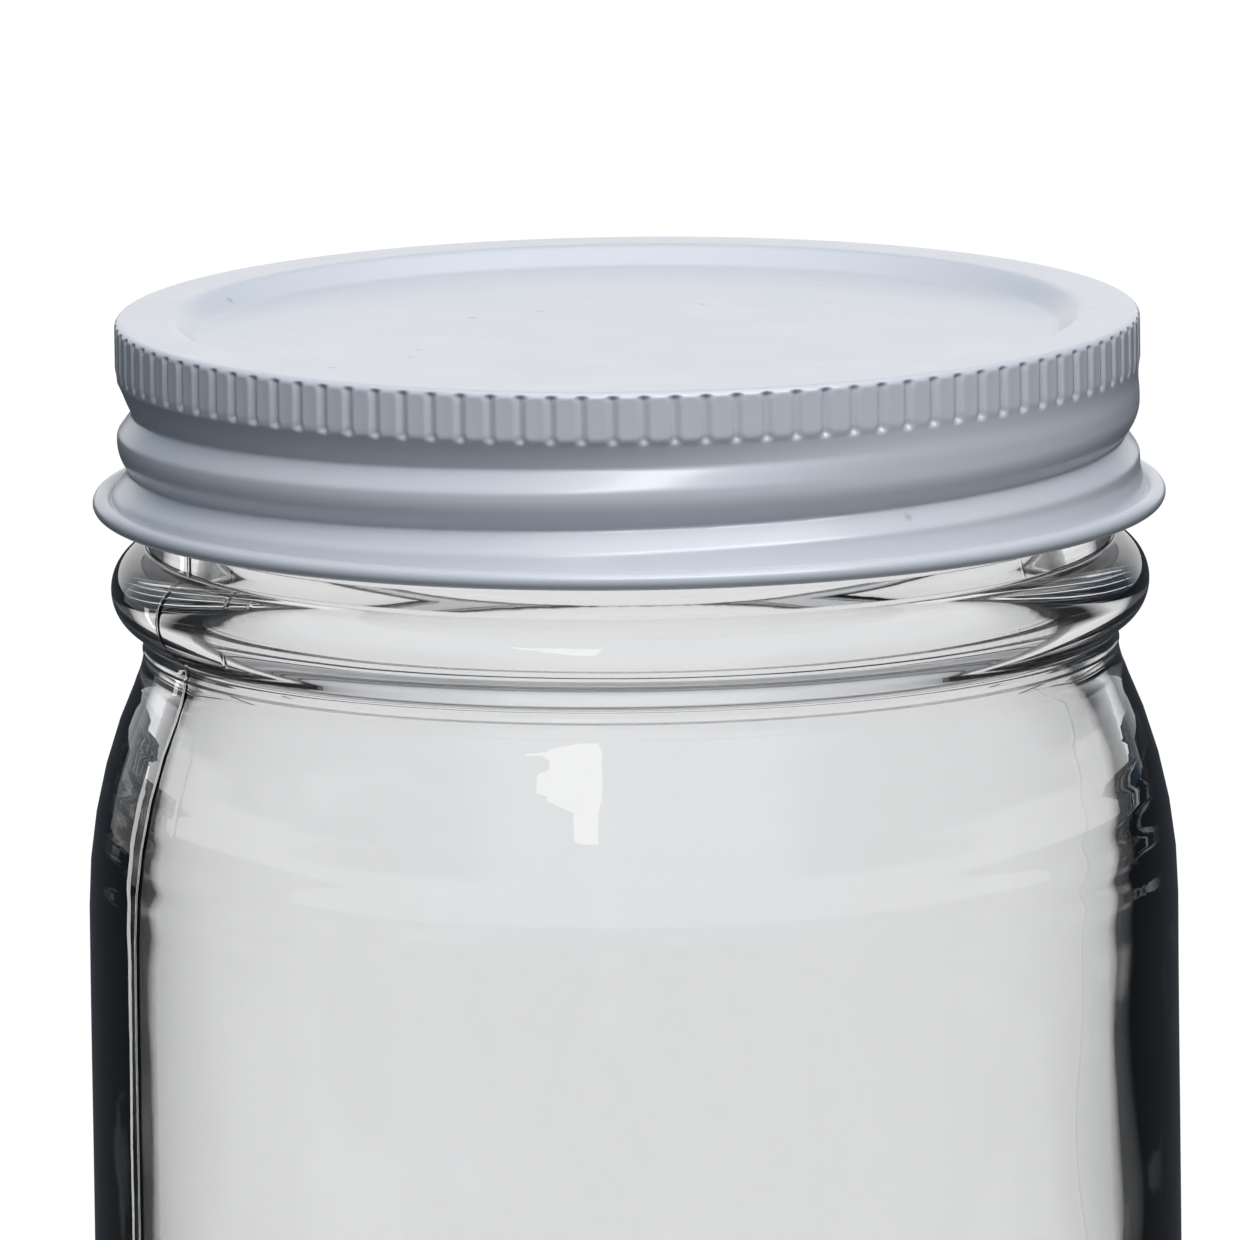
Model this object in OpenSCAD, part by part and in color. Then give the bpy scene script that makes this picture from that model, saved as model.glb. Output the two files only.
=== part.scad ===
// Pint canning jar: clear glass body, one-piece screw lid and the seal inside the lid.
// Millimetres, +Z up, origin at the middle of the surface that the jar stands on.
// Angles round the jar are counted from the front (-Y), anticlockwise seen from above.

/* [Glass body] */
// Height of the glass, from the surface it stands on to the top of the lip
jar_h = 127; // [120:1:140]
// Outside diameter of the body
body_d = 76.8; // [76:0.2:80]
// Wall thickness of body and shoulder
wall = 2.9; // [2.4:0.1:3.2]
// Height of the inside floor at the edge of the base
floor_h = 5; // [4.5:0.1:7]
// Radius of the outside edge between base and body
heel_r = 7; // [5:0.5:9]
// Radius of the inside edge between floor and body
floor_r = 9; // [8:0.5:12]
// Diameter at the inner edge of the flat ring that the jar stands on
foot_d = 56; // [54:0.5:60]
// Height of the hollow under the middle of the base
punt_h = 2.4; // [1.5:0.1:3]

/* [Shoulder and neck] */
// Angle of the shoulder from the vertical
shoulder_a = 22; // [18:1:24]
// Radius where the body turns into the shoulder
shoulder_r = 38; // [32:1:46]
// Radius where the shoulder turns into the neck
fillet_r = 6; // [4:0.5:8]
// Outside diameter of the neck, between shoulder and bead
neck_d = 68.5; // [67.5:0.1:69]
// Depth of the neck's narrowest place below the lip
neck_drop = 21.4; // [21:0.1:24]
// Outside diameter of the rounded bead round the neck
bead_d = 73; // [71:0.1:74]
// Radius of the bead's rounded section
bead_r = 3.24; // [3:0.02:3.4]
// Depth of the bead's middle below the lip
bead_drop = 17.5; // [17:0.1:17.7]

/* [Finish] */
// Outside diameter of the collar just under the lid
collar_d = 68; // [67.4:0.1:68.4]
// Outside diameter of the threaded wall, without its thread
finish_d = 66.6; // [66:0.1:67]
// Diameter of the mouth
mouth_d = 60; // [58:0.5:60]
// Radius on both edges of the lip
lip_r = 1.2; // [0.8:0.1:1.3]

/* [Thread] */
// Rise of the thread for one turn
pitch = 4.23; // [4:0.01:4.5]
// Diameter over the crest of the glass thread
thread_d = 70; // [69.6:0.1:70.2]
// Width of the glass thread's crest
crest_w = 0.8; // [0.5:0.1:1]
// Width of the glass thread at its root
root_w = 2.2; // [1.8:0.1:2.4]
// Depth of the groove rolled into the lid
groove_depth = 1.1; // [0.8:0.05:1.2]
// Half the width of the rolled groove
groove_half = 1.5; // [1.2:0.05:1.6]

/* [Lid] */
// Diameter over the knurled band
lid_d = 72; // [72:0.1:73]
// Height of the lid
lid_h = 13.6; // [13.4:0.1:14.4]
// Thickness of the sheet
sheet = 0.3; // [0.25:0.05:0.35]
// Depth of the middle panel below the rim
recess = 1.35; // [1.1:0.05:1.4]
// Diameter of the middle panel
panel_d = 60.4; // [59:0.1:60.6]
// Inner diameter of the flat rim
rim_d = 63.8; // [63:0.1:64.4]
// Radius of the lid's upper edge
edge_r = 0.5; // [0.3:0.1:0.6]
// Number of pressed flutes
flute_n = 105; // [90:1:110]
// Depth of a flute
flute_depth = 0.3; // [0.2:0.05:0.33]
// Depth of the flutes' lower end below the rim
flute_end = 3.7; // [3:0.1:3.8]
// Outside diameter over the curled lower edge
curl_d = 75.4; // [75:0.1:76]
// Outside radius of the curl's section
curl_r = 0.65; // [0.6:0.05:0.75]

/* [Seal] */
// Thickness of the seal over the lip
seal_t = 1.3; // [1.2:0.05:1.4]
// Outside diameter of the seal
seal_d = 69.8; // [69:0.1:70]
// Inside diameter of the seal
seal_bore_d = 61.8; // [61.6:0.1:62.2]

/* [Hidden] */
$fn = 180;

body_rad = body_d / 2;
neck_rad = neck_d / 2;
lid_rad = lid_d / 2;
neck_z = jar_h - neck_drop;
bead_z = jar_h - bead_drop;
bead_axis = bead_d / 2 - bead_r;
collar_top = jar_h - 12.8;
lid_top = jar_h + seal_t + sheet;

// The shoulder: an arc out of the body, a straight cone, and an arc into the neck
cone_in = body_rad - neck_rad - (1 - cos(shoulder_a)) * (shoulder_r + fillet_r);
cone_h = cone_in / tan(shoulder_a);
shoulder_z = neck_z - fillet_r * sin(shoulder_a) - cone_h - shoulder_r * sin(shoulder_a);

// Rolled groove: its depth below the rim at the front, and where it runs in and out
groove_front = 9.58;
groove_start = -130;
groove_end = 402;
groove_fade = 60;

// Glass thread: it lies just above the rolled groove, which pulls up against it
thread_gap = 0.7;
thread_front = groove_front - pitch / 2 + thread_gap;
thread_start = -50;
thread_end = 400;
thread_fade = 30;
thread_step = 7.5;
thread_bury = 0.4;

// Lid: the flutes are cut into a band of double thickness, and the skirt starts inside its lower end
flute_top = edge_r + 0.1;
flute_w = 0.2 * PI * lid_d / flute_n;
liner_r = lid_rad - 2 * sheet;
ring_end = flute_end + 0.3;
skirt_top = flute_end + 0.1;
skirt_r = lid_rad - 0.07;
curl_axis = curl_d / 2 - curl_r;
curl_depth = lid_h - curl_r;
curl_sheet = 0.4;
skirt_end = curl_depth - curl_r / 2;
skirt_rows = 18;
skirt_cols = 60;
waist_depth = 0.22;
waist_at = 4.4;
waist_half = 1.3;
flare_at = 9.6;
flare_out = 1;

function arc(r_mid, z_mid, r, from, to, steps = 12) =
    [for (i = [0:steps])
        let (a = from + (to - from) * i / steps)
        [r_mid + r * cos(a), z_mid + r * sin(a)]];

function ramp(x) = let (t = max(0, min(1, x))) t * t * (3 - 2 * t);

// A smooth bump, 1 in the middle and 0 from one half-width away
function bump(x, half) = abs(x) < half ? pow(cos(90 * x / half), 2) : 0;

// A height given as a depth below the lid's rim
function below(depth) = lid_top - depth;

// A point round the jar: t degrees from the front, anticlockwise from above
function around(r, t, z) = [r * sin(t), -r * cos(t), z];

// ---- glass jar ----

module jar_section() {
    bead_low = acos((neck_rad - bead_axis) / bead_r);
    bead_high = acos((collar_d / 2 - bead_axis) / bead_r);
    outside = concat(
        [[0, punt_h], [foot_d / 2 - 2.4, punt_h - 0.5], [foot_d / 2, 0]],
        arc(body_rad - heel_r, heel_r, heel_r, -90, 0),
        arc(body_rad - shoulder_r, shoulder_z, shoulder_r, 0, shoulder_a, 10),
        arc(neck_rad + fillet_r, neck_z, fillet_r, 180 + shoulder_a, 180, 6),
        arc(bead_axis, bead_z, bead_r, -bead_low, bead_high, 18),
        [[collar_d / 2, collar_top], [finish_d / 2, collar_top + 1]],
        arc(finish_d / 2 - lip_r, jar_h - lip_r, lip_r, 0, 90, 8));
    inside = concat(
        arc(mouth_d / 2 + lip_r, jar_h - lip_r, lip_r, 90, 180, 8),
        [[mouth_d / 2, collar_top]],
        arc(neck_rad + fillet_r, neck_z, fillet_r + wall, 180, 180 + shoulder_a, 6),
        arc(body_rad - shoulder_r, shoulder_z, shoulder_r - wall, shoulder_a, 0, 10),
        arc(body_rad - wall - floor_r, floor_h + floor_r, floor_r, 0, -90),
        [[0, floor_h + 0.8]]);
    polygon(concat(outside, inside));
}

// One cross-section of the glass thread, sunk into the wall where the thread fades out
function thread_ring(t) =
    let (fade = ramp(min(t - thread_start, thread_end - t) / thread_fade),
         root = finish_d / 2 - thread_bury,
         crest = root + thread_bury / 2 + (thread_d / 2 - root - thread_bury / 2) * fade,
         z = below(thread_front - pitch * t / 360))
    [around(root, t, z - root_w / 2), around(crest, t, z - crest_w / 2),
     around(crest, t, z + crest_w / 2), around(root, t, z + root_w / 2)];

module glass_thread() {
    count = round((thread_end - thread_start) / thread_step);
    points = [for (i = [0:count]) each thread_ring(thread_start + i * thread_step)];
    sides = [for (i = [0:count - 1], j = [0:3])
        let (k = (j + 1) % 4)
        [4 * i + j, 4 * i + k, 4 * (i + 1) + k, 4 * (i + 1) + j]];
    ends = [[3, 2, 1, 0], [for (j = [0:3]) 4 * count + j]];
    polyhedron(points, concat(sides, ends), convexity = 6);
}

module glass_jar() {
    color([0.82, 0.88, 0.9, 0.4])
    union() {
        rotate_extrude() jar_section();
        glass_thread();
    }
}

// ---- lid ----

// How far the rolled groove is pressed in, at an angle and a depth below the rim
function groove_turn(t, depth) =
    groove_depth * bump(depth - groove_front + pitch * t / 360, groove_half)
    * ramp(min(t - groove_start, groove_end - t) / groove_fade);

function skirt_radius(t, depth) =
    skirt_r
    - waist_depth * bump(depth - waist_at, waist_half)
    + flare_out * pow(max(0, (depth - flare_at) / (skirt_end - flare_at)), 2)
    - groove_turn(t, depth)
    - groove_turn(t + 360, depth);

module lid_top_section() {
    bend = sheet * tan(atan2(recess, (rim_d - panel_d) / 2) / 2);
    polygon(concat(
        [[0, below(recess)], [panel_d / 2, below(recess)], [rim_d / 2, below(0)]],
        arc(lid_rad - edge_r, below(edge_r), edge_r, 90, 0, 6),
        [[lid_rad, below(ring_end)], [liner_r, below(ring_end)],
         [liner_r, below(sheet)], [rim_d / 2 + bend, below(sheet)],
         [panel_d / 2 + bend, below(recess + sheet)], [0, below(recess + sheet)]]));
}

module flutes() {
    for (i = [0:flute_n - 1])
        rotate([0, 0, i * 360 / flute_n])
        translate([lid_rad - flute_depth, -flute_w / 2, below(flute_end)])
        cube([1, flute_w, flute_end - flute_top]);
}

// The thin skirt with its rolled groove: rows of points on the outside and on the inside
module skirt() {
    ring = skirt_cols;
    rows = skirt_rows + 1;
    points = [for (inset = [0, sheet], j = [0:skirt_rows], i = [0:ring - 1])
        let (t = i * 360 / ring - 180,
             depth = skirt_top + (skirt_end - skirt_top) * j / skirt_rows)
        around(skirt_radius(t, depth) - inset, t, below(depth))];
    function at(side, j, i) = (side * rows + j) * ring + i % ring;
    outer = [for (j = [0:skirt_rows - 1], i = [0:ring - 1])
        each [[at(0, j, i), at(0, j, i + 1), at(0, j + 1, i + 1)],
              [at(0, j, i), at(0, j + 1, i + 1), at(0, j + 1, i)]]];
    inner = [for (j = [0:skirt_rows - 1], i = [0:ring - 1])
        each [[at(1, j, i), at(1, j + 1, i + 1), at(1, j, i + 1)],
              [at(1, j, i), at(1, j + 1, i), at(1, j + 1, i + 1)]]];
    caps = [for (i = [0:ring - 1])
        each [[at(0, 0, i), at(1, 0, i), at(1, 0, i + 1), at(0, 0, i + 1)],
              [at(0, skirt_rows, i), at(0, skirt_rows, i + 1),
               at(1, skirt_rows, i + 1), at(1, skirt_rows, i)]]];
    polyhedron(points, concat(outer, inner, caps), convexity = 10);
}

// The curled lower edge: a roll of sheet that stops just short of the skirt
module curl_section() {
    polygon(concat(
        arc(curl_axis, below(curl_depth), curl_r, 140, -195, 30),
        arc(curl_axis, below(curl_depth), curl_r - curl_sheet, -195, 140, 30)));
}

module lid_shell() {
    color([0.9, 0.91, 0.93])
    union() {
        difference() {
            rotate_extrude() lid_top_section();
            flutes();
        }
        skirt();
        rotate_extrude() curl_section();
    }
}

// ---- seal ----

// The seal fills the channel under the rim, from just clear of the sloped step outwards
module sealing_gasket() {
    color([0.82, 0.8, 0.76])
    rotate_extrude()
    let (slope = (rim_d - panel_d) / 2 / recess,
         clear = 0.35,
         inner = seal_bore_d / 2,
         outer = seal_d / 2,
         bottom = sheet + seal_t)
    polygon([
        [rim_d / 2 + clear, below(sheet)],
        [outer, below(sheet)],
        [outer, below(bottom - 0.5)],
        [outer - 0.6, below(bottom)],
        [inner, below(bottom)],
        [inner, below(sheet + (rim_d / 2 + clear - inner) / slope)]]);
}

glass_jar();
lid_shell();
sealing_gasket();
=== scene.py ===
"""Looks of the canning jar: clear glass body, white lacquered screw lid and the seal inside the lid."""
import math

import bpy
import numpy as np
from mathutils import Matrix, Vector


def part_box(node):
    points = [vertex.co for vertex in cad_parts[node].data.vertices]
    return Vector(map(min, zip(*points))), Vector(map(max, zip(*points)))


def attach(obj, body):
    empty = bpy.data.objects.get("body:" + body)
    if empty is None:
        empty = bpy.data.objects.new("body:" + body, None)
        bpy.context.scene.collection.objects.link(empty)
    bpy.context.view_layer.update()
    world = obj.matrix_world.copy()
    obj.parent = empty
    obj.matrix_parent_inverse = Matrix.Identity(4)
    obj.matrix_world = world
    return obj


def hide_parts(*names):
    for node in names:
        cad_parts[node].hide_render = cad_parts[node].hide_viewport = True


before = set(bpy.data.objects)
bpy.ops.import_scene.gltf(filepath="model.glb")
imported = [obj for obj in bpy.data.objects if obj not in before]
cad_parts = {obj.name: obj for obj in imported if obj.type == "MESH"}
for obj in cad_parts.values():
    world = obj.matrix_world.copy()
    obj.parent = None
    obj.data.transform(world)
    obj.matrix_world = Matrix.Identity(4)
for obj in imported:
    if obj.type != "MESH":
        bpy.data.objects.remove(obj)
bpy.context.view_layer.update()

MM = 0.001

# ---- sizes, in millimetres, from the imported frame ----

jar_low, jar_high = (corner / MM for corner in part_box("glass_jar"))
lid_low, lid_high = (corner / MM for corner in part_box("lid_shell"))
seal_low, seal_high = (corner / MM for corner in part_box("sealing_gasket"))



def round_radius(low, high):
    """The radius that fits a round piece's box on all four sides."""
    return min(high.x, high.y, -low.x, -low.y)


JAR_H = jar_high.z
BODY_R = round_radius(jar_low, jar_high)
LID_TOP = lid_high.z
LID_H = lid_high.z - lid_low.z
CURL_OUT = round_radius(lid_low, lid_high)
SEAL_R = seal_high.x

# Glass, as in the CAD model
WALL = 2.9
NECK_R = 34.25
BEAD_R = 36.5
COLLAR_R = 34.0
FINISH_R = 33.3
MOUTH_R = 30.0
SHOULDER_DEG = 25.0
BEAD_Z = JAR_H - 17.5
BEAD_ROUND = 3.05

# Thread and rolled groove, as in the CAD model: depths are below the lid's rim
PITCH = 4.23
GROOVE_FRONT = 9.58
GROOVE_LOW = 0.12       # the pressed line lies this much below the middle of the CAD groove
GROOVE_DEPTH = 1.1
GROOVE_RUN = (-130.0, 399.0)
GROOVE_FADE = 60.0
THREAD_R = 35.0
THREAD_RUN = (-50.0, 400.0)
THREAD_FADE = 30.0
THREAD_FRONT = GROOVE_FRONT - PITCH / 2 + 0.7

# Lid
LID_R = 36.0
SHEET = 0.3
RECESS = 1.35
PANEL_R = 30.2
RIM_R = 31.9
FLUTES = 105
FLUTE_DEPTH = 0.42
FLUTE_TOP = 0.15
FLUTE_END = 3.7
CURL_R = 0.65
SKIRT_R = LID_R - 0.07
FLARE_AT = 11.15


# ---- shapes ----

def ramp(x):
    """0 below 0, 1 above 1, smooth between."""
    t = np.clip(x, 0.0, 1.0)
    return t * t * (3 - 2 * t)


def bump(x, half):
    """A smooth bump: 1 in the middle, 0 from one half-width away."""
    return np.where(np.abs(x) < half, np.cos(np.pi / 2 * np.clip(x / half, -1, 1)) ** 2, 0.0)


def arc(r_mid, z_mid, radius, start, end, steps):
    """Points (r, z) along an arc, angles in degrees."""
    turn = np.radians(np.linspace(start, end, steps + 1))
    return [(r_mid + radius * math.cos(a), z_mid + radius * math.sin(a)) for a in turn]


def rounded(corners, arc_step=5.0):
    """The outline through corners (r, z, radius), each corner rounded to its radius."""
    line = [corners[0][:2]]
    for before, (r, z, radius), after in zip(corners, corners[1:], corners[2:]):
        corner = Vector((r, z))
        back = (Vector(before[:2]) - corner).normalized()
        ahead = (Vector(after[:2]) - corner).normalized()
        half = back.angle(ahead) / 2
        if radius <= 0 or half > math.pi / 2 - 0.001:
            line.append((r, z))
            continue
        reach = radius / math.tan(half)
        middle = corner + (back + ahead).normalized() * radius / math.sin(half)
        start = corner + back * reach - middle
        end = corner + ahead * reach - middle
        turn = math.remainder(math.atan2(end.y, end.x) - math.atan2(start.y, start.x), 2 * math.pi)
        steps = max(2, math.ceil(abs(math.degrees(turn)) / arc_step))
        first = math.atan2(start.y, start.x)
        for i in range(steps + 1):
            a = first + turn * i / steps
            line.append((middle.x + radius * math.cos(a), middle.y + radius * math.sin(a)))
    line.append(corners[-1][:2])
    return line


def refine(line, longest):
    """Adds points so that no step of the outline is longer than longest(r, z) at its middle."""
    out = [line[0]]
    for (r0, z0), (r1, z1) in zip(line, line[1:]):
        step = longest((r0 + r1) / 2, (z0 + z1) / 2)
        count = max(1, math.ceil(math.hypot(r1 - r0, z1 - z0) / step))
        out += [(r0 + (r1 - r0) * i / count, z0 + (z1 - z0) * i / count) for i in range(1, count + 1)]
    return out


def turned(name, r, z, angles, poles):
    """A closed mesh from rows of radii and heights (rows x angles, mm), angles in degrees from the front.
    With poles the first and last rows shrink to a point on the axis; without, the last row joins the first.
    The outline may run either way: the faces are made to look outwards."""
    rows, cols = r.shape
    t = np.radians(angles)[None, :]
    points = np.stack([r * np.sin(t), -r * np.cos(t), z], axis=-1).reshape(-1, 3)
    j, i = np.meshgrid(np.arange(rows if not poles else rows - 1), np.arange(cols), indexing="ij")
    down, right = (j + 1) % rows, (i + 1) % cols
    quads = np.stack([j * cols + i, j * cols + right, down * cols + right, down * cols + i], axis=-1)
    faces = quads.reshape(-1, 4).tolist()
    if poles:
        first, last = len(points), len(points) + 1
        ends = [[0, 0, z[0].mean()], [0, 0, z[-1].mean()]]
        points = np.vstack([points, ends])
        base = (rows - 1) * cols
        faces += [[first, (k + 1) % cols, k] for k in range(cols)]
        faces += [[last, base + k, base + (k + 1) % cols] for k in range(cols)]
    ahead_r, ahead_z = np.roll(r[:, 0], -1), np.roll(z[:, 0], -1)
    if (r[:, 0] * ahead_z - ahead_r * z[:, 0]).sum() < 0:
        faces = [face[::-1] for face in faces]
    mesh = bpy.data.meshes.new(name)
    mesh.from_pydata((points * MM).tolist(), [], faces)
    mesh.polygons.foreach_set("use_smooth", [True] * len(mesh.polygons))
    mesh.update()
    piece = bpy.data.objects.new(name, mesh)
    bpy.context.scene.collection.objects.link(piece)
    return piece


def paint(piece, name, values):
    """Stores one number per point of the mesh, for its material to read."""
    layer = piece.data.attributes.new(name, "FLOAT", "POINT")
    data = np.zeros(len(piece.data.vertices), np.float32)
    flat = np.asarray(values, np.float32).reshape(-1)
    data[:len(flat)] = flat
    layer.data.foreach_set("value", data)


# ---- glass jar ----

SEAMS = ((-65.0, 0.06), (115.0, 0.025))
PARTING_Z = JAR_H - 21.7


def jar_outline():
    """Outside from the middle of the base up to the lip, then down the inside to the middle of the floor."""
    slope = math.tan(math.radians(SHOULDER_DEG))
    neck_z = JAR_H - 22.75
    shoulder_z = neck_z - (BODY_R - NECK_R) / slope
    inner = BODY_R - WALL
    outside = [
        (0.6, 2.4, 0), (25.2, 2.0, 4), (28.4, 0, 1.6), (BODY_R, 0, 7),
        (BODY_R, shoulder_z, 38), (NECK_R, neck_z, 6),
        (NECK_R, BEAD_Z - 3.2, 1.0)]
    bead = arc(BEAD_R - BEAD_ROUND, BEAD_Z, BEAD_ROUND, -54, 74, 26)
    finish = [
        (COLLAR_R, BEAD_Z + 3.02, 0.3), (COLLAR_R, JAR_H - 12.7, 0.5), (FINISH_R, JAR_H - 11.9, 0.6),
        (FINISH_R, JAR_H, 1.3)]
    inside = [
        (MOUTH_R, JAR_H, 1.2), (MOUTH_R, JAR_H - 13.5, 14), (NECK_R - WALL, neck_z + 0.5, 9), (inner, shoulder_z, 35),
        (inner, 5, 9), (0.6, 5.8, 0)]

    def longest(r, z):
        if abs(z - PARTING_Z) < 0.6 and r > NECK_R - 0.5:
            return 0.07
        if z > JAR_H - 12.5 and r > FINISH_R - 0.5:
            return 0.3
        return 0.8 if z > 84 else 1.4

    corners = outside + [(*point, 0) for point in bead] + finish + inside
    line = np.array(refine(rounded(corners), longest))
    lip = np.argmin(np.hypot(line[:, 0] - (MOUTH_R + FINISH_R) / 2, line[:, 1] - JAR_H))
    return line, lip


def jar_angles():
    """Even columns, with extra ones at the two mould seams."""
    even = np.arange(0, 360, 0.75)
    near = np.arange(-1.2, 1.21, 0.12)
    seams = np.concatenate([(seam + near) % 360 for seam, _ in SEAMS])
    keep = [a for a in even if min(abs((a - seam + 180) % 360 - 180) for seam, _ in SEAMS) > 1.4]
    return np.sort(np.concatenate([keep, seams]))


def ripple(angles, z, seed, waves, longest_mm, top_turns):
    """Slow unevenness of blown glass: a sum of waves that closes on itself round the jar, from -1 to 1."""
    rng = np.random.default_rng(seed)
    t = np.radians(angles)[None, :]
    total = np.zeros((len(z), len(angles)))
    size = 0.0
    for _ in range(waves):
        turns = rng.integers(1, top_turns)
        along = 2 * math.pi / rng.uniform(longest_mm / 3, longest_mm)
        weight = 1 / (0.5 + turns)
        total += weight * np.cos(turns * t + along * z[:, None] * rng.choice([-1, 1]) + rng.uniform(0, 6.3))
        size += weight
    return total / size


def make_jar():
    profile, lip = jar_outline()
    angles = jar_angles()
    z_row = profile[:, 1]
    outer = np.arange(len(profile)) <= lip
    r = np.repeat(profile[:, :1], len(angles), axis=1)
    z = np.repeat(profile[:, 1:], len(angles), axis=1)

    # Glass thread on the finish
    for turn in (0, 360):
        t = (angles + 180) % 360 - 180 + turn
        fade = ramp(np.minimum(t - THREAD_RUN[0], THREAD_RUN[1] - t) / THREAD_FADE)
        middle = LID_TOP - THREAD_FRONT + PITCH * t / 360
        ridge = ramp((1.15 - np.abs(z - middle[None, :])) / 0.85) * fade[None, :]
        finish = (outer & (z_row > JAR_H - 11.5) & (profile[:, 0] > FINISH_R - 0.02))[:, None]
        r = np.where(finish, np.maximum(r, FINISH_R + (THREAD_R - FINISH_R) * ridge), r)

    # Mould seams: fine upright ridges, a little off line across the bead, and the parting line round the neck
    for seam, height in SEAMS:
        shift = np.where(z_row > PARTING_Z, 0.35, 0.0)[:, None]
        away = ((angles[None, :] - seam - shift + 180) % 360 - 180) * math.pi / 180 * r
        strength = ramp((z_row - 3) / 5) * ramp((JAR_H - 1.5 - z_row) / 1.5) * outer
        r = r + height * strength[:, None] * bump(away, 0.42)
    parting = bump(z_row - PARTING_Z, 0.22) * outer
    r = r + 0.1 * parting[:, None]

    # Uneven wall: slow waves inside, much fainter outside
    inside = (~outer & (z_row > 9) & (z_row < JAR_H - 16)).astype(float)
    ease = ramp((z_row - 9) / 12) * ramp((JAR_H - 16 - z_row) / 8)
    r = r + (0.16 * inside * ease)[:, None] * ripple(angles, z_row, 11, 14, 70, 9)
    patch = bump((angles - 88 + 180) % 360 - 180, 48)[None, :]
    r = r + (0.11 * inside * ease)[:, None] * patch * ripple(angles, z_row, 5, 24, 26, 26)
    skin = outer & (z_row > 8) & (z_row < JAR_H - 24)
    r = r - (0.035 * skin)[:, None] * (1 + ripple(angles, z_row, 23, 10, 60, 7))

    # Fine notches across the ring that the jar stands on
    foot = outer & (z_row < 0.4) & (profile[:, 0] > 28) & (profile[:, 0] < 33)
    notch = np.clip(np.cos(np.radians(angles * 120)), 0, 1)[None, :]
    z = z + (0.22 * foot * bump(profile[:, 0] - 30.3, 1.7))[:, None] * notch

    return turned("jar_glass", r, z, angles, poles=True)


# ---- lid ----

def groove_turn(t, depth):
    """How far the groove is pressed in: a slow curve down from above, a sharp bottom, a straight side out."""
    fade = ramp(np.minimum(t - GROOVE_RUN[0], GROOVE_RUN[1] - t) / GROOVE_FADE)
    away = depth - GROOVE_FRONT - GROOVE_LOW + PITCH * t / 360
    above = np.clip(1 + away / 2.3, 0, 1) ** (2 - ramp((t - 150) / 150))
    side = 1 - away / 1.47
    below = (np.hypot(side, 0.1) + side) / 2
    return GROOVE_DEPTH * fade * (above + below - np.hypot(above - below, 0.06)) / 2


def skirt_radius(t, depth):
    """Outside radius of the skirt at angles t and depths below the rim: the rolled band, then a slight flare."""
    band = SKIRT_R - 0.08 * bump(depth - 4.6, 1.4) - groove_turn(t, depth) - groove_turn(t + 360, depth)
    below = depth - FLARE_AT
    return band + 0.14 * (below + np.hypot(below, 0.15))


def flute_mask(angles, depth):
    """1 in the middle of a pressed flute, 0 on the lands between."""
    pitch = 2 * math.pi * LID_R / FLUTES
    across = (np.abs(((angles * FLUTES / 360) % 1) - 0.5) * pitch)[None, :]
    width = 0.36 + 0.22 * ramp((depth - FLUTE_END + 0.75) / 0.7) + 0.2 * ramp((0.8 - depth) / 0.5)
    length = ramp((depth - FLUTE_TOP) / 0.4) * ramp((FLUTE_END + 0.1 - depth) / 0.5)
    return bump(across, width) * length


def lid_outline():
    """Outside from the middle of the panel to the curl, then the inside back to the middle; z is below the rim."""
    curl_mid = CURL_OUT - CURL_R
    curl_z = -LID_H + CURL_R
    top = rounded([(0.5, -RECESS, 0), (PANEL_R, -RECESS, 1.2), (RIM_R, 0, 1.2), (LID_R, 0, 0.55),
                   (LID_R, -0.7, 0)], arc_step=8)
    wall = [(LID_R, -d) for d in np.arange(0.85, 12.75, 0.14)]
    roll = arc(curl_mid, curl_z, CURL_R, 165, -150, 46)
    liner = [(LID_R - SHEET, -d) for d in np.arange(13.2, 0.9, -0.3)]
    under = rounded([(LID_R - SHEET, -0.8, 0), (LID_R - 0.4, -SHEET, 0.4), (RIM_R + 0.15, -SHEET, 0.9),
                     (PANEL_R + 0.15, -RECESS - SHEET, 1.2), (0.5, -RECESS - SHEET, 0)], arc_step=12)
    parts = [refine(top, lambda r, z: 0.5 if r > 28 else 3.0), wall, roll, liner,
             refine(under, lambda r, z: 0.8 if r > 28 else 4.0)]
    kinds = np.concatenate([np.full(len(p), k) for k, p in enumerate(parts)])
    return np.array([p for part in parts for p in part]), kinds


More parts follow.
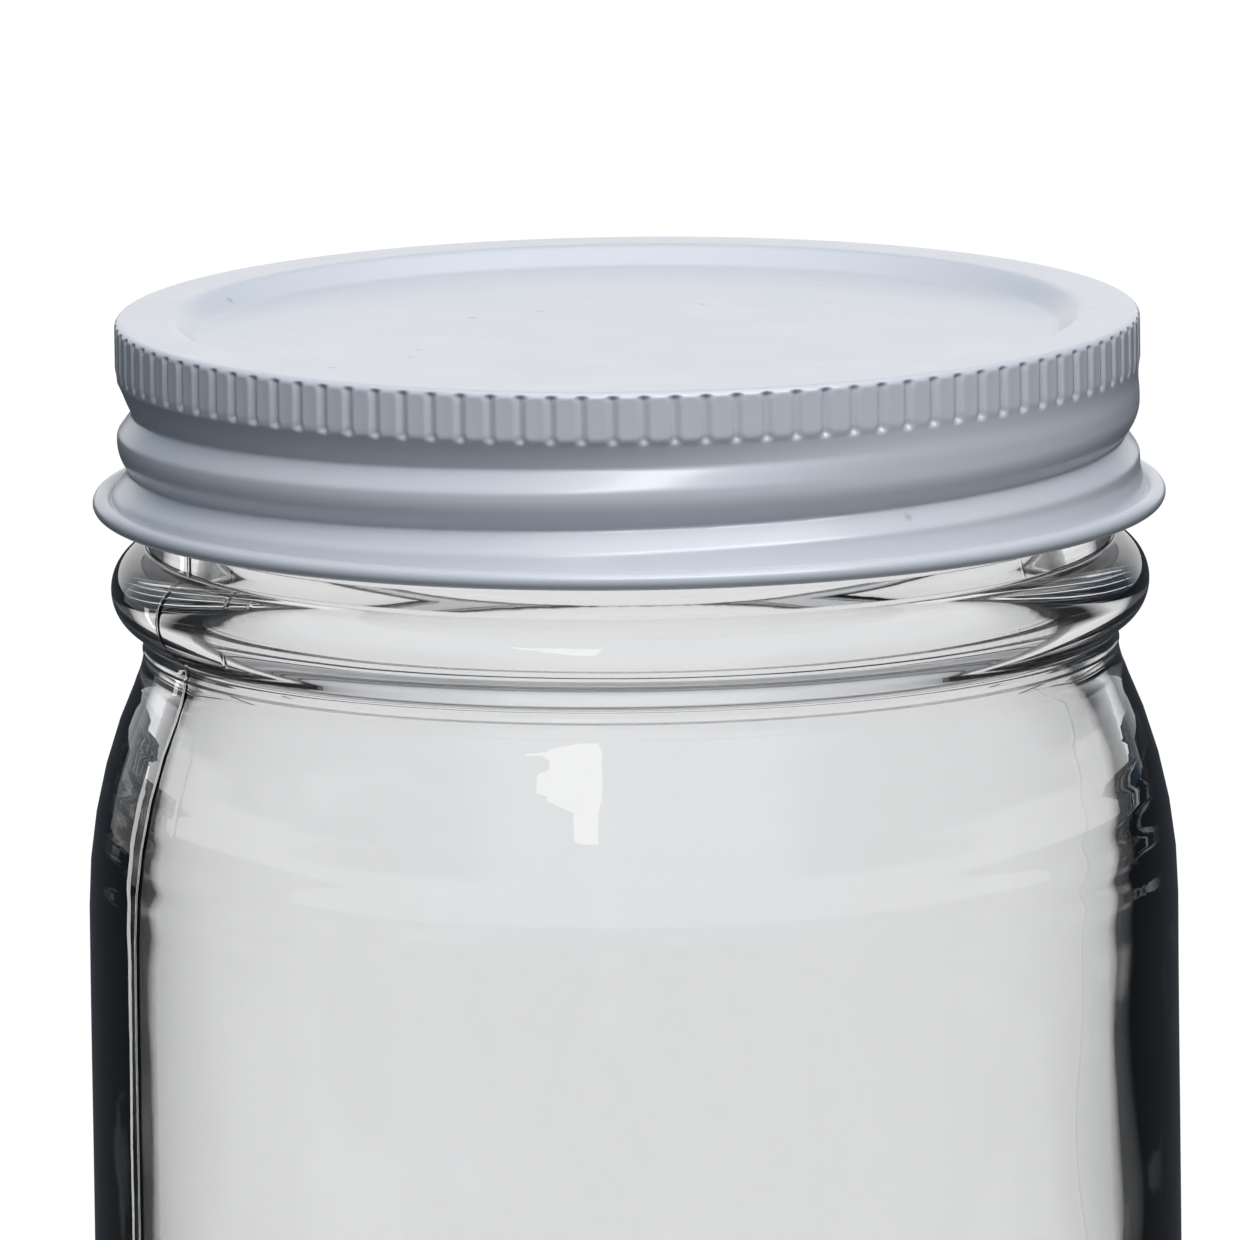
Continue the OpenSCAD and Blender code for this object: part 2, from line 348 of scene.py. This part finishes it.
def make_lid():
    profile, kinds = lid_outline()
    angles = np.arange(FLUTES * 12) * 360 / (FLUTES * 12)
    depth = -profile[:, 1][:, None]
    t = (angles + 180) % 360 - 180
    r = np.repeat(profile[:, :1], len(angles), axis=1)
    z = np.repeat(profile[:, 1:], len(angles), axis=1)

    wall = (kinds == 1)[:, None]
    liner = (kinds == 3)[:, None]
    skirt = skirt_radius(t[None, :], depth)
    settle = ramp((depth - FLUTE_END + 0.55) / 0.7)
    r = np.where(wall, LID_R + (skirt - LID_R) * settle, r)
    inner_settle = ramp((depth - FLUTE_END) / 0.6)
    band = LID_R - 2 * SHEET
    r = np.where(liner, band + (skirt - SHEET - band) * inner_settle, r)
    r = np.where((kinds == 4)[:, None] & (r > band), band, r)

    # Pressed flutes, whose lands are very slightly crowned, and whose tops bite into the rounded edge
    edge = ((kinds <= 1) & (profile[:, 0] > LID_R - 0.6))[:, None]
    mask = flute_mask(angles, depth) * edge
    crown = np.cos(np.radians(angles * FLUTES))[None, :] * 0.02
    zone = ramp((depth - 0.3) / 0.4) * ramp((FLUTE_END + 0.2 - depth) / 0.5) * edge
    r = r - FLUTE_DEPTH * mask - np.abs(crown) * zone

    # The stamped panel is flat to a few hundredths of a millimetre, not perfectly
    panel = (kinds == 0)[:, None] & (profile[:, :1] < PANEL_R)
    dish = 0.05 * (1 - (profile[:, :1] / PANEL_R) ** 2)
    sway = 0.012 * np.cos(np.radians(3 * t[None, :] + 40)) * (profile[:, :1] / PANEL_R) ** 2
    z = z + np.where(panel, dish + sway, 0)

    lid = turned("lid_sheet", r, z + LID_TOP, angles, poles=True)
    groove = (groove_turn(t[None, :], depth) + groove_turn(t[None, :] + 360, depth)) / GROOVE_DEPTH
    # How deep each point lies in a flute or the rolled groove; the lacquer uses it to paint shade into them.
    paint(lid, "recess", np.maximum(0.5 * mask, groove ** 3 * wall))
    return lid


# ---- seal ----

def make_seal():
    """The ring of sealing compound under the rim, with the lip's shallow print in its underside."""
    top = seal_high.z
    low = seal_low.z
    line = rounded([(32.6, top, 0), (SEAL_R, top, 0.3), (SEAL_R, low + 0.3, 0.5), (SEAL_R - 0.9, low, 0.6),
                    (33.4, low, 0.5), (32.9, low + 0.05, 0.3), (30.95, low + 0.05, 0.25),
                    (30.9, low + 0.25, 0.15), (32.3, top - 0.05, 0.1), (32.5, top, 0)], arc_step=15)
    profile = np.array(refine(line, lambda r, z: 0.4))
    angles = np.arange(0, 360, 1.5)
    r = np.repeat(profile[:, :1], len(angles), axis=1)
    z = np.repeat(profile[:, 1:], len(angles), axis=1)
    return turned("seal_ring", r, z, angles, poles=False)


# ---- materials ----

class Nodes:
    """A material's node tree with short ways to add to it."""

    def __init__(self, name):
        self.material = bpy.data.materials.new(name)
        self.material.use_nodes = True
        self.tree = self.material.node_tree
        self.shader = self.tree.nodes["Principled BSDF"]
        self.where = self.add("ShaderNodeTexCoord").outputs["Object"]

    def add(self, kind, **settings):
        node = self.tree.nodes.new(kind)
        for key, value in settings.items():
            setattr(node, key, value)
        return node

    def link(self, source, target):
        self.tree.links.new(source, target)

    def noise(self, scale, detail=3.0, rough=0.5):
        node = self.add("ShaderNodeTexNoise")
        self.link(self.where, node.inputs["Vector"])
        node.inputs["Scale"].default_value = scale
        node.inputs["Detail"].default_value = detail
        node.inputs["Roughness"].default_value = rough
        return node.outputs["Fac"]

    def spots(self, scale, low, high):
        """Small round specks: 1 in their middle, 0 between them."""
        cells = self.add("ShaderNodeTexVoronoi", feature="F1")
        self.link(self.where, cells.inputs["Vector"])
        cells.inputs["Scale"].default_value = scale
        return self.fit(cells.outputs["Distance"], low, high, 1.0, 0.0)

    def fit(self, value, low, high, out_low, out_high):
        node = self.add("ShaderNodeMapRange")
        self.link(value, node.inputs["Value"])
        for key, number in (("From Min", low), ("From Max", high), ("To Min", out_low), ("To Max", out_high)):
            node.inputs[key].default_value = number
        return node.outputs["Result"]

    def stored(self, name):
        return self.add("ShaderNodeAttribute", attribute_name=name).outputs["Fac"]

    def times(self, a, b):
        node = self.add("ShaderNodeMath", operation="MULTIPLY")
        self.link(a, node.inputs[0])
        self.link(b, node.inputs[1])
        return node.outputs[0]

    def test(self, value, operation, limit):
        """1 where the value is beyond the limit, otherwise 0."""
        node = self.add("ShaderNodeMath", operation=operation)
        self.link(value, node.inputs[0])
        node.inputs[1].default_value = limit
        return node.outputs[0]

    def mix(self, amount, first, second):
        """A colour between first and second, each a colour or a socket."""
        node = self.add("ShaderNodeMix", data_type="RGBA")
        self.link(amount, node.inputs["Factor"])
        for socket, colour in ((node.inputs[6], first), (node.inputs[7], second)):
            if isinstance(colour, tuple):
                socket.default_value = (*colour, 1.0)
            else:
                self.link(colour, socket)
        return node.outputs[2]

    def bumped(self, height, distance, strength=1.0, over=None):
        node = self.add("ShaderNodeBump")
        self.link(height, node.inputs["Height"])
        node.inputs["Distance"].default_value = distance
        node.inputs["Strength"].default_value = strength
        if over is not None:
            self.link(over, node.inputs["Normal"])
        return node.outputs["Normal"]

    def set(self, **values):
        """Constants on the shader's own sockets, by socket name with _ for a space."""
        for key, value in values.items():
            self.shader.inputs[key.replace("_", " ")].default_value = value


def clear_glass():
    """Soda-lime glass: smooth, bright and faintly uneven. Its colour carries painted shade: near black where its wall
    is seen at a grazing angle, standing in for the dark room seen through its edges.
    """
    m = Nodes("clear_glass")
    m.set(Transmission_Weight=1.0, IOR=1.52, Roughness=0.0)
    # Painted shade: the glass colour goes from clear to near black as the wall is seen more nearly edge-on, giving
    # the dark bands in the jar's edges.
    grazing = m.add("ShaderNodeLayerWeight")
    grazing.inputs["Blend"].default_value = 0.5
    m.link(m.mix(m.fit(grazing.outputs["Facing"], 0.68, 0.74, 0.0, 1.0), (0.90, 0.90, 0.90), (0.02, 0.02, 0.02)),
           m.shader.inputs["Base Color"])
    broad = m.bumped(m.noise(45, 2.0), 0.00025, 0.35)
    fine = m.bumped(m.noise(420, 3.0, 0.6), 0.000006, 0.25, over=broad)
    m.link(fine, m.shader.inputs["Normal"])
    return m.material


def white_lacquer():
    """Semi-gloss white lacquer on tinplate: orange peel, dust specks, and painted shade that darkens the recesses."""
    m = Nodes("white_lacquer")
    m.set(IOR=1.5, Coat_Weight=0.8, Coat_Roughness=0.22)
    clean = m.mix(m.noise(60, 4.0, 0.6), (0.60, 0.622, 0.665), (0.635, 0.655, 0.695))
    # Painted shade: the flutes and the rolled groove turn darker and bluer with their stored recess depth, mottled by
    # fine noise.
    recess_shade = m.fit(m.stored("recess"), 0.2, 1.0, 0.0, 0.3)
    shaded_lacquer = m.mix(m.times(recess_shade, m.fit(m.noise(700, 4.0), 0.3, 0.7, 0.5, 1.0)), clean, (0.33, 0.36, 0.41))
    rare = m.times(m.spots(260, 0.06, 0.12), m.fit(m.noise(90, 2.0), 0.56, 0.62, 0.0, 1.0))
    m.link(m.mix(rare, shaded_lacquer, (0.42, 0.43, 0.45)), m.shader.inputs["Base Color"])
    m.link(m.fit(m.noise(160, 4.0, 0.6), 0.3, 0.7, 0.30, 0.42), m.shader.inputs["Roughness"])
    peel = m.bumped(m.noise(1500, 2.0), 0.00001, 0.35)
    m.link(m.bumped(m.noise(110, 2.0), 0.00006, 0.25, over=peel), m.shader.inputs["Normal"])
    return m.material


def sealing_compound():
    """Off-white plastisol: soft satin, slightly mottled, flowed in as a liquid."""
    m = Nodes("sealing_compound")
    m.set(IOR=1.48, Subsurface_Weight=0.08, Subsurface_Scale=0.001)
    m.link(m.mix(m.noise(220, 4.0), (0.66, 0.64, 0.59), (0.74, 0.72, 0.68)), m.shader.inputs["Base Color"])
    m.link(m.fit(m.noise(500, 3.0), 0.3, 0.7, 0.42, 0.58), m.shader.inputs["Roughness"])
    m.link(m.bumped(m.noise(300, 3.0), 0.00006, 0.4), m.shader.inputs["Normal"])
    return m.material


# ---- the object ----

def place(piece, body, node, slot, material):
    piece.data.materials.append(material)
    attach(piece, body)
    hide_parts(node)


place(make_jar(), "jar", "glass_jar", "clear_glass", clear_glass())
place(make_lid(), "lid", "lid_shell", "white_lacquered_steel", white_lacquer())
place(make_seal(), "seal", "sealing_gasket", "sealing_compound", sealing_compound())


# ---- studio ----

CAMERA_DISTANCE = 1.8
CAMERA_ELEVATION = 9.5
CAMERA_ROLL = 0.7
FRAME_WIDTH = 0.0872
AIM = Vector((-0.00075, 0, 0.10675))
FLOOR_RADIUS = 7.0
GLOW = 8.0
GLOW_WIDTH = 0.05


def direction(azimuth, elevation):
    """Unit vector from the object, azimuth 0 towards the front and positive to the right, in degrees."""
    a, e = math.radians(azimuth), math.radians(elevation)
    return Vector((math.sin(a) * math.cos(e), -math.cos(a) * math.cos(e), math.sin(e)))


def make_camera():
    data = bpy.data.cameras.new("camera")
    data.sensor_width = 36
    data.lens = data.sensor_width * CAMERA_DISTANCE / FRAME_WIDTH
    data.clip_start = 0.05
    data.clip_end = 100
    camera = bpy.data.objects.new("camera", data)
    camera.location = AIM + direction(0, CAMERA_ELEVATION) * CAMERA_DISTANCE
    facing = (AIM - camera.location).to_track_quat("-Z", "Y").to_matrix()
    camera.rotation_euler = (facing @ Matrix.Rotation(math.radians(-CAMERA_ROLL), 3, "Z")).to_euler()
    bpy.context.scene.collection.objects.link(camera)
    bpy.context.scene.camera = camera


def flat_sheet(name, corners):
    """A flat sheet that belongs to the studio. Its material is added by whoever makes it."""
    mesh = bpy.data.meshes.new(name)
    mesh.from_pydata(corners, [], [range(len(corners))])
    sheet = bpy.data.objects.new(name, mesh)
    bpy.context.scene.collection.objects.link(sheet)
    return sheet


def make_floor():
    """A white floor. The camera sees it bright, directly and straight through the walls of the jar. It gives
    little light back, and rays that bounce about in the glass or only cross its solid edges see the dark room."""
    corners = [(x * FLOOR_RADIUS, y * FLOOR_RADIUS, -0.0002) for x, y in ((-1, -1), (1, -1), (1, 1), (-1, 1))]
    floor = flat_sheet("floor", corners)
    m = Nodes("floor")
    m.set(Base_Color=(0.13, 0.135, 0.14, 1), Roughness=1.0, Specular_IOR_Level=0.0)
    path = m.add("ShaderNodeLightPath")
    glass = path.outputs["Is Transmission Ray"]
    straight = m.times(m.test(path.outputs["Transmission Depth"], "GREATER_THAN", 2.5),
                       m.test(path.outputs["Glossy Depth"], "LESS_THAN", 0.5))
    through = m.times(glass, straight)
    strayed = m.test(through, "LESS_THAN", 0.5)
    white = m.add("ShaderNodeMath", operation="MAXIMUM")
    m.link(path.outputs["Is Camera Ray"], white.inputs[0])
    m.link(through, white.inputs[1])
    shine = m.add("ShaderNodeEmission")
    m.link(m.fit(white.outputs[0], 0, 1, 0.0, 0.97), shine.inputs["Strength"])
    lit = m.add("ShaderNodeAddShader")
    m.link(m.shader.outputs[0], lit.inputs[0])
    m.link(shine.outputs[0], lit.inputs[1])
    room = m.add("ShaderNodeEmission")
    m.link(m.fit(m.noise(5, 3.0, 0.6), 0.52, 0.72, 0.0, 0.55), room.inputs["Strength"])
    seen = m.add("ShaderNodeMixShader")
    m.link(m.times(glass, strayed), seen.inputs[0])
    m.link(lit.outputs[0], seen.inputs[1])
    m.link(room.outputs[0], seen.inputs[2])
    side = m.add("ShaderNodeMixShader")
    m.link(m.add("ShaderNodeNewGeometry").outputs["Backfacing"], side.inputs[0])
    m.link(seen.outputs[0], side.inputs[1])
    m.link(m.add("ShaderNodeBsdfTransparent").outputs[0], side.inputs[2])
    m.link(side.outputs[0], m.tree.nodes["Material Output"].inputs["Surface"])
    floor.data.materials.append(m.material)


# Corners of the window that lights the front, as directions from the shoulder: azimuth, elevation
WINDOW_DISTANCE = 1.2
WINDOW_GLOW = 3.4
WINDOW = [(-31, 39.5), (-7, 39.5), (-8, 22.5), (-12, 22.5), (-17, 27), (-21, 30), (-20.5, 32), (-27, 35)]


def make_window():
    """The bright window at the front left, whose picture lies on the outside of the jar's shoulder and bead."""
    shoulder = Vector((0, 0, 0.098))
    window = flat_sheet("window", [shoulder + direction(*corner) * WINDOW_DISTANCE for corner in WINDOW])
    window.visible_camera = window.visible_transmission = False
    m = Nodes("window_light")
    m.set(Base_Color=(0, 0, 0, 1), Emission_Color=(1, 1, 1, 1), Emission_Strength=WINDOW_GLOW)
    window.data.materials.append(m.material)


def softbox(name, azimuth, elevation, distance, width, height, radiance):
    """A rectangular lamp that faces the neck of the jar. radiance is relative to the white of the backdrop."""
    data = bpy.data.lights.new(name, "AREA")
    data.shape = "RECTANGLE"
    data.size = width
    data.size_y = height
    data.energy = radiance * width * height * math.pi
    lamp = bpy.data.objects.new(name, data)
    lamp.location = AIM + direction(azimuth, elevation) * distance
    lamp.rotation_euler = (AIM - lamp.location).to_track_quat("-Z", "Y").to_euler()
    lamp.visible_camera = False
    bpy.context.scene.collection.objects.link(lamp)
    return lamp


STRIP_AZIMUTH = -129.5


def make_strip():
    """A low upright light at the back left, whose picture is the bright streak in the jar's left edge."""
    foot = direction(STRIP_AZIMUTH, 0) * 0.35
    along = direction(STRIP_AZIMUTH + 90, 0)
    outline = [(-0.003, 0.0), (0.003, 0.0), (0.006, 0.03), (0.009, 0.12), (-0.007, 0.12)]
    strip = flat_sheet("strip", [foot + along * x + Vector((0, 0, z)) for x, z in outline])
    strip.visible_camera = False
    strip.visible_transmission = False
    m = Nodes("strip_light")
    m.set(Base_Color=(0, 0, 0, 1), Emission_Color=(1, 1, 1, 1), Emission_Strength=3.0)
    strip.data.materials.append(m.material)
    light_only(strip, "jar_glass")


def light_only(lamp, name, through_glass=False):
    """Keeps a lamp's light, and its picture, off everything but one piece."""
    only = bpy.data.collections.new(lamp.name + "_lights")
    only.objects.link(bpy.data.objects[name])
    lamp.light_linking.receiver_collection = only
    if through_glass:
        lamp.light_linking.blocker_collection = only


def make_glow():
    """Light on the inside of the lid, as a white room gives it through the clear walls of the jar."""
    data = bpy.data.lights.new("glow", "AREA")
    data.shape = "DISK"
    data.size = GLOW_WIDTH
    data.energy = GLOW * math.pi * math.pi * (GLOW_WIDTH / 2) ** 2
    data.color = (1.0, 0.98, 0.94)
    lamp = bpy.data.objects.new("glow", data)
    lamp.location = (0, 0, 0.07)
    lamp.rotation_euler = (math.pi, 0, 0)
    lamp.visible_camera = lamp.visible_transmission = lamp.visible_glossy = False
    bpy.context.scene.collection.objects.link(lamp)
    light_only(lamp, "lid_sheet", through_glass=True)


def make_world():
    """Soft studio surround: bright overhead and behind, dim and bluish in front, dark at the sides. The camera
    sees it white; through the glass, the room above the backdrop is dark at the sides."""
    world = bpy.data.worlds.new("studio")
    bpy.context.scene.world = world
    world.use_nodes = True
    tree = world.node_tree
    add, link = tree.nodes.new, tree.links.new
    split = add("ShaderNodeSeparateXYZ")
    link(add("ShaderNodeTexCoord").outputs["Generated"], split.inputs[0])

    def stops(value, *pairs):
        level = add("ShaderNodeValToRGB")
        link(value, level.inputs[0])
        while len(level.color_ramp.elements) < len(pairs):
            level.color_ramp.elements.new(0.5)
        for element, (place, colour) in zip(level.color_ramp.elements, pairs):
            element.position = place
            element.color = (*colour, 1)
        return level.outputs[0]

    def blend(share, first, second):
        pick = add("ShaderNodeMix")
        pick.data_type = "RGBA"
        for socket, source in ((pick.inputs["Factor"], share), (pick.inputs[6], first), (pick.inputs[7], second)):
            if isinstance(source, tuple):
                socket.default_value = (*source, 1)
            elif isinstance(source, float):
                socket.default_value = source
            else:
                link(source, socket)
        return pick.outputs[2]

    def grey(level):
        return (level, level, level)

    sidewards = add("ShaderNodeMath")
    sidewards.operation = "ABSOLUTE"
    link(split.outputs["X"], sidewards.inputs[0])
    up = split.outputs["Z"]
    front = stops(up, (0.0, (0.12, 0.18, 0.25)), (0.4, (0.32, 0.42, 0.55)), (0.9, (0.36, 0.38, 0.42)))
    sides = stops(up, (0.0, grey(0.02)), (0.4, (0.08, 0.10, 0.13)), (0.9, (0.36, 0.38, 0.42)))
    back = stops(up, (0.0, grey(1.0)), (0.3, grey(0.8)), (0.5, grey(0.3)), (0.9, (0.36, 0.38, 0.42)))
    light = blend(stops(sidewards.outputs[0], (0.5, grey(0.0)), (0.8, grey(1.0))), front, sides)
    light = blend(stops(split.outputs["Y"], (0.82, grey(0.0)), (0.93, grey(1.0))), light, back)
    room = stops(up, (0.1, grey(1.0)), (0.16, grey(0.02)), (0.7, grey(0.05)), (0.9, grey(0.8)))
    room = blend(stops(sidewards.outputs[0], (0.45, grey(0.0)), (0.65, grey(1.0))), grey(1.0), room)
    path = add("ShaderNodeLightPath")
    colour = blend(path.outputs["Is Transmission Ray"], light, room)
    colour = blend(path.outputs["Is Camera Ray"], colour, grey(1.05))
    link(colour, tree.nodes["Background"].inputs["Color"])


make_camera()
make_floor()
make_world()
make_window()
softbox("overhead", azimuth=180, elevation=82, distance=1.2, width=1.1, height=0.9, radiance=0.5)
make_strip()
light_only(softbox("lid_top_light", azimuth=15, elevation=70, distance=1.5, width=1.4, height=0.8, radiance=1.75),
           "lid_sheet")
light_only(softbox("lid_front_light", azimuth=20, elevation=45, distance=1.5, width=1.5, height=0.4, radiance=7.4),
           "lid_sheet")
edge = softbox("edge_light", azimuth=-138, elevation=5, distance=1.2, width=0.5, height=0.8, radiance=0.3)
edge.visible_transmission = False
light_only(edge, "jar_glass")
make_glow()
bpy.context.scene.view_settings.view_transform = "Standard"
